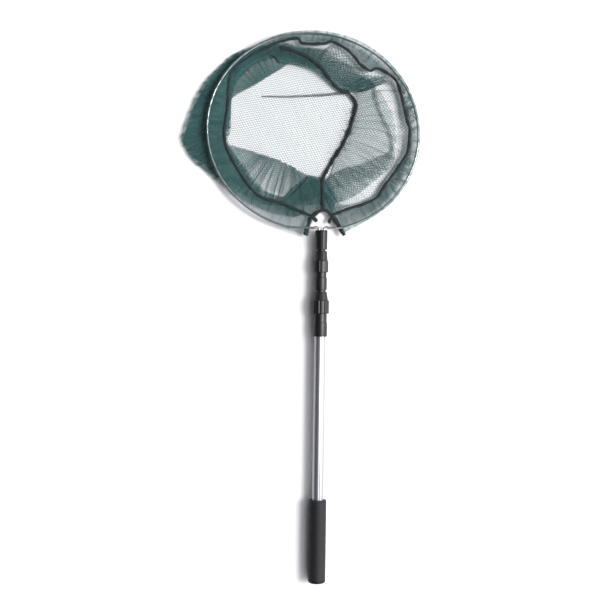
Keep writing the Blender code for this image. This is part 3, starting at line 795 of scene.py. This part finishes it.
# outlines are about the hoop's centre, x to the right and y away from the pole
seamLines = {
    "hem": [
        (36, -137), (62, -126), (85, -119), (108, -107), (122, -85), (139, -62), (158, -30), (161, 5),
        (155, 28), (148, 58), (139, 85), (125, 99), (105, 108), (94, 104), (77, 115), (68, 126), (53, 140),
        (30, 151), (16, 148), (-18, 148), (-27, 156), (-44, 154), (-70, 145), (-108, 126), (-138, 99),
        (-143, 41), (-147, -11), (-130, -54), (-92, -104), (-52, -118), (-30, -127), (-3, -138), (18, -130),
    ],
    "side": [(19, -129), (18, -100), (18, -77), (33, -48), (50, -20), (61, 4), (67, 26), (71, 51), (58, 69)],
    "bottom": [(58, 69), (45, 72), (31, 84), (11, 110), (-18, 130), (-56, 142)],
    "neck": [(-10, -172), (-6, -156), (-2, -141), (19, -129), (36, -140), (45, -155), (55, -171)],
}
bag = {
    "centre": (-35, 25),
    # from the hem seam inwards: outline and height of each fold line, top to bottom
    "folds": [
        (seamLines["hem"], -6.6),
        (
            [
                (17, -77), (34, -110), (62, -119), (104, -101), (116, -80), (132, -57), (147, -28), (148, -8),
                (146, 8), (143, 28), (138, 58), (128, 78), (113, 86), (98, 84), (76, 73), (57, 67), (45, 72),
                (31, 78), (17, 88), (-12, 106), (-38, 113), (-55, 116), (-70, 128), (-98, 113), (-122, 92),
                (-134, 60), (-138, 12), (-144, -13), (-124, -52), (-88, -98), (-55, -110), (-41, -107),
                (-15, -84), (-1, -70),
            ],
            -8.6,
        ),
        (
            [
                (36, -133), (62, -122), (104, -105), (118, -83), (135, -60), (152, -30), (153, -8), (151, 8),
                (148, 30), (143, 60), (134, 81), (120, 94), (103, 103), (92, 100), (75, 111), (65, 122),
                (50, 136), (30, 147), (16, 144), (-18, 144), (-44, 150), (-70, 147), (-98, 144), (-132, 132),
                (-166, 102), (-190, 70), (-206, 36), (-219, -2), (-220, -20), (-205, -47), (-180, -66),
                (-152, -91), (-122, -111), (-90, -127), (-58, -138), (-30, -142), (-6, -136), (17, -126),
            ],
            -9.4,
        ),
        (
            [
                (19, -76), (54, -58), (95, -44), (130, -29), (124, 0), (106, 40), (99, 76), (76, 76),
                (57, 74), (31, 84), (17, 94), (-12, 110), (-38, 118), (-60, 130), (-90, 130), (-112, 112),
                (-130, 92), (-136, 60), (-136, 12), (-143, -13), (-120, -48), (-86, -92), (-58, -104),
                (-40, -106), (-16, -84), (-1, -72),
            ],
            -10.2,
        ),
        (
            [
                (20, -120), (51, -114), (91, -93), (127, -61), (138, -42), (130, 0), (112, 42), (104, 82),
                (92, 92), (75, 100), (60, 115), (40, 125), (20, 133), (0, 140), (-20, 142), (-44, 147),
                (-70, 144), (-97, 141), (-130, 129), (-163, 99), (-187, 68), (-203, 35), (-216, -2),
                (-217, -19), (-202, -45), (-177, -63), (-148, -87), (-117, -104), (-87, -119), (-53, -124),
                (-20, -122), (0, -122),
            ],
            -11.0,
        ),
        (
            [
                (24, -79), (36, -50), (53, -22), (64, 2), (70, 26), (74, 54), (62, 74), (49, 80), (36, 88),
                (20, 98), (-10, 117), (-38, 124), (-62, 124), (-92, 118), (-116, 96), (-134, 68), (-138, 12),
                (-145, -13), (-119, -52), (-89, -92), (-56, -107), (-40, -105), (-15, -84), (2, -76),
            ],
            -12.0,
        ),
        (
            [
                (25, -80), (37, -51), (54, -23), (65, 1), (71, 26), (75, 54), (64, 77), (52, 90), (38, 100),
                (20, 114), (-4, 128), (-26, 136), (-46, 140), (-70, 139), (-97, 140), (-130, 128), (-162, 99),
                (-186, 68), (-202, 35), (-215, -2), (-217, -19), (-201, -44), (-176, -63), (-147, -85),
                (-114, -94), (-84, -102), (-53, -110), (-20, -116), (0, -114), (14, -104),
            ],
            -13.0,
        ),
        (
            [
                (26, -81), (38, -52), (55, -24), (66, 0), (72, 26), (76, 55), (66, 80), (51, 84), (36, 94),
                (20, 104), (-8, 112), (-36, 116), (-55, 106), (-96, 79), (-139, 51), (-143, 14), (-151, -14),
                (-102, -30), (-53, -46), (-2, -71),
            ],
            -13.8,
        ),
    ],
    "columnWidths": {
        -90: 1.1, -76: 1.05, -66: 1.3, -56: 1.55, -45: 1.75, -20: 1.85, 0: 1.8, 20: 1.6, 32: 2.3, 42: 3.2,
        62: 3.0, 78: 1.5, 95: 0.95, 110: 0.8, 135: 0.72, 150: 0.85, 180: 0.95, 205: 1.0, 216: 1.2, 256: 1.3,
        268: 1.1, 270: 1.1,
    },
    "radius": 135,  # at which the column widths are measured
    "mostCells": 7000,  # a length of net with more is knitted without the straight joints
    "sway": 1.0,  # how much of the columns' lean is used
    "puff": 0.35,  # mm that the net rises or sinks between two fold lines
    # degrees where one length of net is joined to the next
    "cuts": [-90, -60, -40, 24, 40, 78, 122, 160, 190, 222, 270],
}
clearBottom = {
    "turn": math.radians(66),
    "height": -14.05,
    "outline": [
        (34, -96), (92, -76), (128, -52), (142, -8), (134, 34), (116, 70), (84, 96), (44, 112), (4, 132),
        (-44, 142), (-98, 132), (-142, 92), (-160, 40), (-158, -22), (-136, -64), (-96, -92), (-44, -104),
        (0, -100),
    ],
    "rows": 120,
    "columns": (-120, 120),
    "wander": 1.6,
    "ripple": 0.3,
}
hem = {
    "loop": 2.9,  # from the wire's middle
    "sway": 0.5,
    "puff": 0.25,
    "columnWidths": {
        -90: 1.2, -62: 1.2, -40: 0.8, 30: 0.74, 55: 1.3, 80: 1.0, 110: 1.0, 130: 1.2, 150: 1.1, 205: 1.1,
        235: 2.0, 270: 1.7,
    },
    "loopTurns": np.radians([140, 115, 90, 65, 35, 0, -35, -65, -90, -115, -140]),  # round the wire
    "seamHeights": (-6.2, -7.2),
    # at these degrees the loop hangs out past the wire, by so many mm and over so many degrees
    "slack": {68: (4.0, 34), -76: (7.0, 12), 270: (7.0, 12)},
    # the hem's two ends, which leave the neck open, and where its lengths are joined
    "cuts": [-72.5, 0, 60, 160, 266.2],
}


def insideOutline(x, y, outline):
    # a point is inside where a line to the right of it crosses the outline an odd number of times
    ax, ay = np.asarray(outline, float).T
    bx, by = np.roll(ax, -1), np.roll(ay, -1)
    x, y = x[..., None], y[..., None]
    spans = (ay > y) != (by > y)
    crossing = ax + (y - ay) * (bx - ax) / np.where(by == ay, 1e-9, by - ay)
    return (spans & (x < crossing)).sum(-1) % 2 == 1


def makeWall():
    # the bag's side, lofted from fold line to fold line and cut into lengths
    centre = np.array(bag["centre"], float)
    rails = [(reachOf(outline, centre), height) for outline, height in bag["folds"]]
    turns = columnTurns(bag["columnWidths"], bag["radius"])
    surface, lengthAt = loftedNet(centre, rails, turns, bag["sway"], bag["puff"])
    cuts = cutColumns(turns, bag["cuts"])
    for n, (start, stop) in enumerate(zip(cuts[:-1], cuts[1:])):
        middle = np.arange(start, stop) + 0.5
        lengths = lengthAt(middle)
        rows = int(np.sqrt(lengths.max() * lengths.mean()) / netting["rowHeight"]) + 2

        def eased(u, s):
            # rows are closer where the net's path is short: s times the root of length / mean length
            return s * np.sqrt(lengthAt(u) / lengths.mean())

        joints = (stop - start) * rows < bag["mostCells"]
        piece, bars, kept = knit(
            f"bagWall{n + 1:02d}", lambda u, s: surface(u, eased(u, s)), (start, stop), rows, joints,
            lambda u, s: eased(u, s) <= lengthAt(u),
        )
        if n == 0:
            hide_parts("net_wall")
        width = (stop - start) * netting["columnWidth"]
        used = np.ptp(np.argwhere(kept)[:, 1]) / (2 if joints else 1)
        declareNet(piece, bars, width, used * netting["rowHeight"])


def makeBottom():
    # the same mesh laid flat, turned, and cut to an outline that reaches in under the folds
    turn = clearBottom["turn"]
    outline = np.array(clearBottom["outline"], float)
    across, along = netting["columnWidth"], netting["rowHeight"]

    def flat(u, s):
        v = s - clearBottom["rows"] * along / 2
        x = u * across * math.cos(turn) - v * math.sin(turn)
        y = u * across * math.sin(turn) + v * math.cos(turn)
        return drifted(x, y, clearBottom["wander"], 0.9, 4.1)

    def surface(u, s):
        x, y = flat(u, s)
        z = clearBottom["height"] + clearBottom["ripple"] * (1 + wander(x, y, 2.2))
        return np.stack([x + hoop["centre"][0], y + hoop["centre"][1], z], -1)

    def inside(u, s):
        return insideOutline(*flat(u, s), outline)

    piece, bars, kept = knit("bagBottom", surface, clearBottom["columns"], clearBottom["rows"], True, inside)
    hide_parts("net_bottom")
    used = np.argwhere(kept)
    width = (np.ptp(used[:, 0]) + 1) * across
    length = np.ptp(used[:, 1]) / 2 * along
    declareNet(piece, bars, width, length)


def loopReach(turn):
    # the hem's loop goes round the wire, at this turn from level, and hangs out where it has slack
    def reach(a):
        slack = sum(
            most * np.exp(-(((np.degrees(a) - at + 180) % 360 - 180) / over) ** 2)
            for at, (most, over) in hem["slack"].items()
        )
        return wireReach(a) + hem["loop"] * math.cos(turn) + slack * max(math.cos(turn), 0)

    return reach


def makeHem():
    # both layers of the hem: from the seam up over the wire, round it, and back below to the seam
    seamReach = reachOf(seamLines["hem"], np.zeros(2))
    rails = [(loopReach(turn), hem["loop"] * math.sin(turn)) for turn in hem["loopTurns"]]
    rails = [(seamReach, hem["seamHeights"][0])] + rails + [(seamReach, hem["seamHeights"][1])]
    turns = columnTurns(hem["columnWidths"], hoop["radius"])
    surface, lengthAt = loftedNet(np.zeros(2), rails, turns, hem["sway"], hem["puff"])
    cuts = cutColumns(turns, hem["cuts"])
    for n, (start, stop) in enumerate(zip(cuts[:-1], cuts[1:])):
        middle = np.arange(start, stop) + 0.5
        rows = int(lengthAt(middle).mean() / netting["rowHeight"]) + 1
        whole = (rows - 1) * netting["rowHeight"]

        def fitted(u, s):
            # a strip of even depth, eased to the length that it has to cover in each direction
            return surface(u, s / whole * lengthAt(u))

        piece, bars = knit(f"hem{n + 1}", fitted, (start, stop), rows, False)[:2]
        if n == 0:
            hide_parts("hem_sleeve")
        width = (stop - start) * netting["columnWidth"]
        declareNet(piece, bars, width, whole)


# tucks: narrow pleats that show as dark creases

tucks = {
    "bagTuck": {
        "path": [(-86, 60), (-50, 60), (-22, 62), (15, 64), (57, 69), (80, 76)],
        "fold": (2.2, 6.4),  # depth of its pleats at its two ends
        "height": -13.4,
        "on": "bagBottom",
    },
    "topTuck": {
        "path": [(-55, 140), (-30, 141), (-4, 139), (20, 136), (42, 131)],
        "fold": (4.4, 3.2),
        "height": -8.2,
        "on": "bagWall06",
    },
    "sideTuck": {
        "path": [(28, 120), (59, 113), (88, 104)],
        "fold": (3.4, 4.0),
        "height": -8.4,
        "on": "bagWall05",
    },
}
tuckForm = {"columnWidth": 1.8, "pleats": 4, "climb": 0.38}


def makeTuck(name, tuck):
    # point = path(u) + fold wave(s): a triangle wave across the path, climbing from pleat to pleat
    path = smoothPath(tuck["path"], 20)
    run = np.append(0, np.cumsum(np.linalg.norm(np.diff(path, axis=0), axis=1)))
    columns = int(run[-1] / tuckForm["columnWidth"])
    rows = tuckForm["pleats"] + 1
    depth = (rows - 1) * netting["rowHeight"]
    narrow, wide = tuck["fold"]

    def surface(u, s):
        at = np.clip(u / columns, 0, 1)
        x, y = (np.interp(at * run[-1], run, path[:, k]) for k in (0, 1))
        turn = tuckForm["pleats"] * s / depth
        wave = np.abs((turn + 1) % 2 - 1) - 0.5
        y = y + wave * (narrow + at * (wide - narrow)) + netting["wander"] * wander(x, y, 4)
        z = tuck["height"] + tuckForm["climb"] * turn
        return np.stack([x + hoop["centre"][0], y + hoop["centre"][1], z], -1)

    piece, bars = knit(name, surface, (0, columns), rows, False)[:2]
    declareNet(piece, bars, columns * netting["columnWidth"], depth)


# seams

seamForms = {
    "hem": {"halfWidth": 2.4, "halfHeight": 1.1},
    "side": {"halfWidth": 2.9, "halfHeight": 1.4},
    "bottom": {"halfWidth": 2.9, "halfHeight": 1.2},
    "neckEnd": {"halfWidth": 3.8, "halfHeight": 1.5},
    "neck": {"halfWidth": 3.3, "halfHeight": 1.4},
}
stitch = {"length": 2.6, "step": 0.5, "wander": 0.5}
# name, line, height or heights along it, form, and the CAD node that it stands for
seamPieces = [
    ("hemSeam", seamLines["hem"][:-1], -5.6, "hem", "hem_seam"),
    (
        "sideSeam", seamLines["side"], [-5.8, -7.6, -9.6, -10.8, -11.2, -11.2, -11.0, -10.4, -9.0],
        "side", "side_seam",
    ),
    ("bottomSeam", seamLines["bottom"], [-9.0, -8.4, -8.0, -7.6, -7.2, -7.0], "bottom", "bottom_seam"),
    ("neckLeft", seamLines["neck"][:3], [-3.0, -4.4, -5.6], "neckEnd", "neck_binding"),
    ("neckRight", seamLines["neck"][4:], [-5.6, -4.4, -3.0], "neckEnd"),
    ("neckMiddle", seamLines["neck"][2:5], [-5.6, -5.8, -5.6], "neck"),
    # the bound edges' cut ends stick out into the notch
    ("neckTailLeft", [(-2, -141), (4, -144), (9, -149)], -4.6, "side"),
    ("neckTailRight", [(36, -140), (31, -145), (29, -151)], -4.6, "hem"),
]
looseThreads = {
    "seed": 7,
    "places": 80,  # along the side seam
    "thickest": (30, 62, 34),  # from place, to place, and how many
    "others": (0, 80, 26),
    "curl": 2.4,
    "lengths": (6, 16),
    "steps": 10,
    "thread": 0.4,
    "height": -8.2,
}


def raised(outline, heights):
    # an outline about the hoop's centre, given one height or a height for each point
    outline = np.asarray(outline, float)
    heights = np.broadcast_to(np.asarray(heights, float), len(outline))
    return np.column_stack([outline[:, 0] + hoop["centre"][0], outline[:, 1] + hoop["centre"][1], heights])


def stitched(a, along):
    # thread wraps, 1 + 0.28 w |w| with w = sin(a + 2 pi s / stitch), and a slow uneven swell
    wrap = np.sin(a + 2 * math.pi * along / stitch["length"])
    return 1 + 0.28 * wrap * np.abs(wrap) + 0.22 * np.sin(along / 4.3) * np.sin(along / 11 + 1)


def makeSeam(name, line, heights, form, *nodes):
    path = smoothPath(raised(line, heights), 16)
    run = np.linalg.norm(np.diff(path, axis=0), axis=1).sum()
    path = evenPath(path, int(run / stitch["step"]))
    x, y = 3 * path[:, :2].T
    path[:, :2] += stitch["wander"] * np.stack([wander(x, y, 1), wander(y, x, 2)], -1)
    half = seamForms[form]
    piece = sweptPiece(name, path, "overlockedThread", half["halfWidth"], half["halfHeight"], 10, stitched)
    ridden(piece, "net_head", "dark_binding", *nodes)


def makeLooseThreads():
    # limp ends of yarn along the side seam: each steps along with its heading turning evenly
    draw = np.random.default_rng(looseThreads["seed"])
    path = evenPath(smoothPath(raised(seamLines["side"], looseThreads["height"]), 12), looseThreads["places"])
    spots = np.concatenate([draw.integers(*looseThreads[part]) for part in ("thickest", "others")])
    count = len(spots)
    angles = draw.uniform(0, 2 * math.pi, (count, 1))
    curls = draw.uniform(-looseThreads["curl"], looseThreads["curl"], (count, 1))
    lengths = draw.uniform(*looseThreads["lengths"], (count, 1))
    steps = looseThreads["steps"]
    s = np.linspace(0, 1, steps)[None, :]
    heading = angles + curls * s
    fall = np.broadcast_to(0.12 - 0.3 * s, heading.shape)
    step = np.stack([np.cos(heading), np.sin(heading), fall], -1) * lengths[..., None] / steps
    hairs = path[spots][:, None] + np.cumsum(step, axis=1)
    hairs[..., 2] = np.maximum(hairs[..., 2], tableHeight + looseThreads["thread"])
    upright = np.broadcast_to((0.0, 0.0, 1.0), hairs.shape)
    kept = np.ones(hairs.shape[:2], bool)
    piece = bindThreads("looseThreads", hairs, upright, kept, looseThreads["thread"], "overlockedThread")
    ridden(piece, "net_head", "dark_binding")


print("knitting the bag")
makeHem()
makeWall()
makeBottom()
for name, tuck in tucks.items():
    makeTuck(name, tuck)
for seam in seamPieces:
    makeSeam(*seam)
makeLooseThreads()


# table, light and camera

studio = {
    "tableSize": 8000,
    "lightPlace": (3270, 690, 3580),
    "lightTarget": (-30, 560, 0),
    "lightSize": 1.8,
    "lightPower": 240,
    "fill": (0.12, 1.95),  # strength of the room away from the light, and towards brightWay
    "brightWay": (1.0, 0.0, 0.0),
    "brightFrom": 0.35,  # cosine of the angle from brightWay at which the room is brightest
    "cameraHeight": 1600,
    "lookAt": (-34, 468),
    "frameWidth": 996,
    "roll": math.radians(0.8),
}


def makeTable():
    # one flat square at the height that the grip lies on
    half = studio["tableSize"] / 2
    x, y = np.meshgrid([-half, half], [-half, half], indexing="ij")
    points = np.stack([x, y, np.full_like(x, tableHeight)], -1).reshape(-1, 3) / 1000
    mesh = bpy.data.meshes.new("table")
    mesh.from_pydata(points.tolist(), [], [(0, 2, 3, 1)])
    mesh.materials.append(paint["paintedTable"])
    table = bpy.data.objects.new("table", mesh)
    bpy.context.scene.collection.objects.link(table)


def makeLight():
    data = bpy.data.lights.new("softBox", "AREA")
    data.shape = "DISK"
    data.size = studio["lightSize"]
    data.energy = studio["lightPower"]
    light = bpy.data.objects.new("softBox", data)
    place = np.array(studio["lightPlace"]) / 1000
    light.location = place
    towards = Vector(np.array(studio["lightTarget"]) / 1000 - place)
    light.rotation_euler = towards.to_track_quat("-Z", "Y").to_euler()
    bpy.context.scene.collection.objects.link(light)


def makeRoom():
    # the room is bright on the light's side, and dark from overhead to the other side
    world = bpy.data.worlds.new("paleRoom")
    world.use_nodes = True
    tree = world.node_tree
    spot = addNode(tree, "ShaderNodeTexCoord")
    product = {"operation": "DOT_PRODUCT"}
    tilt = addNode(tree, "ShaderNodeVectorMath", product, {"Vector": (spot, "Generated")})
    tilt.inputs[1].default_value = studio["brightWay"]
    dark, bright = studio["fill"]
    spread = {"From Min": 0.0, "From Max": studio["brightFrom"], "To Min": dark, "To Max": bright}
    glow = addNode(tree, "ShaderNodeMapRange", spread, {"Value": (tilt, "Value")})
    background = tree.nodes["Background"]
    background.inputs["Color"].default_value = linearColour("#f7f6fb")
    tree.links.new(glow.outputs["Result"], background.inputs["Strength"])
    bpy.context.scene.world = world


def makeCamera():
    # straight down, rolled a little, with a lens that frames frameWidth at the pole's height
    data = bpy.data.cameras.new("camera")
    data.sensor_width = 36
    height = studio["cameraHeight"]
    data.lens = data.sensor_width * height / studio["frameWidth"]
    camera = bpy.data.objects.new("camera", data)
    camera.location = (studio["lookAt"][0] / 1000, studio["lookAt"][1] / 1000, height / 1000)
    camera.rotation_euler = (0, 0, studio["roll"])
    bpy.context.scene.collection.objects.link(camera)
    bpy.context.scene.camera = camera


print("placing the table, light and camera")
makeTable()
makeLight()
makeRoom()
makeCamera()
bpy.context.scene.view_settings.view_transform = "Standard"

print("finished")
